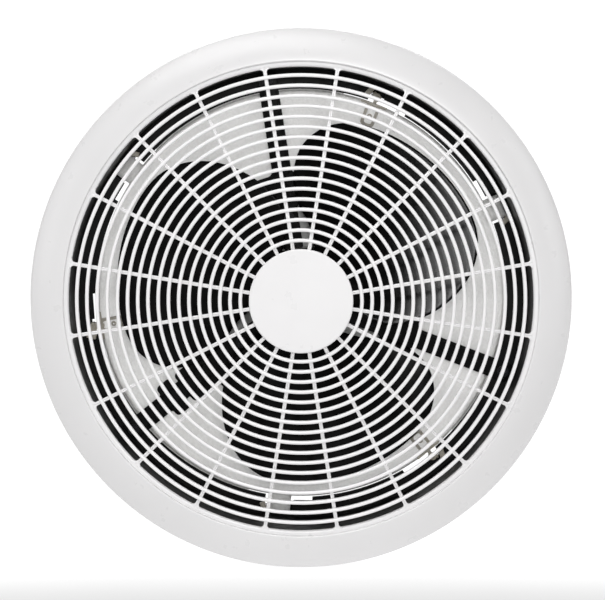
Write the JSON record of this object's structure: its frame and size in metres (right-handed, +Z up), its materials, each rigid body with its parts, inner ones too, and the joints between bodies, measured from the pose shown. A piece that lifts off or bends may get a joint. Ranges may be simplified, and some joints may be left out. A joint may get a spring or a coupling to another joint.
{
  "type": "exhaust fan",
  "caption": "Round white wall or ceiling exhaust fan with a domed ring grille, black petal impeller and backdraft flaps behind it.",
  "frame": {"origin": "centre of the mounting plane, where the flange's back meets the wall or ceiling, on the fan's axis", "axes": "+Y along the fan's axis away from the room, towards the outlet; +Z up when the fan is on a wall; +X to the right seen from the room"},
  "size_m": [0.356, 0.1623, 0.356],
  "materials": {
    "white_gloss": "glossy injection-moulded white",
    "flap_white": "fine leather-grain moulded off-white",
    "black_gloss": "glossy moulded black",
    "black_satin": "satin moulded black",
    "motor_grey": "light grey paint on a casting",
    "nylon": "natural nylon",
    "black_oxide": "blackened steel",
    "zinc": "bright zinc plate",
    "steel": "ground steel",
    "bronze": "sintered bronze",
    "brass": "plain brass",
    "copper": "enamelled copper",
    "laminations": "stacked steel sheet",
    "aluminium": "as cast",
    "rubber": "soft black rubber",
    "foam": "closed-cell foam",
    "terminal_white": "moulded white",
    "capacitor_grey": "moulded dark grey"
  },
  "bodies": {
    "frame": {"mounting_flange": "black_satin", "housing": "black_satin", "outlet_plate": "black_satin", "flange_gasket": "foam", "hinge_lugs": "nylon", "hinge_pins": "steel", "motor_bracket": "black_gloss", "bracket_screws": "black_oxide", "motor_screws": "black_oxide", "rubber_mounts": "rubber", "motor_front_cover": "motor_grey", "motor_rear_cover": "motor_grey", "cover_bolts": "zinc", "stator_core": "laminations", "stator_windings": "copper", "front_bush": "bronze", "rear_bush": "bronze", "terminal_box": "black_satin", "terminal_box_lid": "black_satin", "lid_screws": "zinc", "terminal_box_screws": "zinc", "terminal_block": "terminal_white", "terminal_screws": "brass", "run_capacitor": "capacitor_grey", "earth_screw": "brass", "cable_gland": "black_satin", "gland_lock_nut": "black_satin", "gland_seal": "rubber", "gland_cap": "black_satin"},
    "fascia": {"fascia_bezel": "white_gloss", "grille": "white_gloss", "centre_cap": "white_gloss"},
    "rotor": {"motor_shaft": "steel", "drive_pin": "steel", "shaft_clips": "steel", "thrust_washers": "steel", "rotor_core": "laminations", "rotor_cage": "aluminium", "impeller": "black_gloss", "hub_washer": "zinc", "impeller_nut": "black_gloss"},
    "flap_upper_left": {"flap_upper_left": "flap_white", "hinge_clip_upper_left": "nylon"},
    "flap_lower": {"flap_lower": "flap_white", "hinge_clip_lower": "nylon"},
    "flap_upper_right": {"flap_upper_right": "flap_white", "hinge_clip_upper_right": "nylon"}
  },
  "joints": [
    {"name": "rotor_spin", "type": "hinge", "parent": "frame", "child": "rotor", "pos_m": [0, 0.0273, 0], "axis": [0, 1, 0], "continuous": true},
    {"name": "fascia_pull", "type": "slide", "parent": "frame", "child": "fascia", "axis": [0, -1, 0], "range_m": [0, 0.06]},
    {"name": "flap_upper_left_hinge", "type": "hinge", "parent": "frame", "child": "flap_upper_left", "pos_m": [-0.12757, 0.0495, 0.03063], "axis": [0.2334, 0, 0.9724], "range_deg": [0, 75], "stiffness_Nm_per_rad": 0.012, "springref_deg": -34.38},
    {"name": "flap_lower_hinge", "type": "hinge", "parent": "frame", "child": "flap_lower", "pos_m": [0.03726, 0.0495, -0.1258], "axis": [-0.9588, 0, -0.284], "range_deg": [0, 75], "stiffness_Nm_per_rad": 0.012, "springref_deg": -34.38},
    {"name": "flap_upper_right_hinge", "type": "hinge", "parent": "frame", "child": "flap_upper_right", "pos_m": [0.09031, 0.0495, 0.09517], "axis": [0.7254, 0, -0.6884], "range_deg": [0, 75], "stiffness_Nm_per_rad": 0.012, "springref_deg": -34.38}
  ]
}
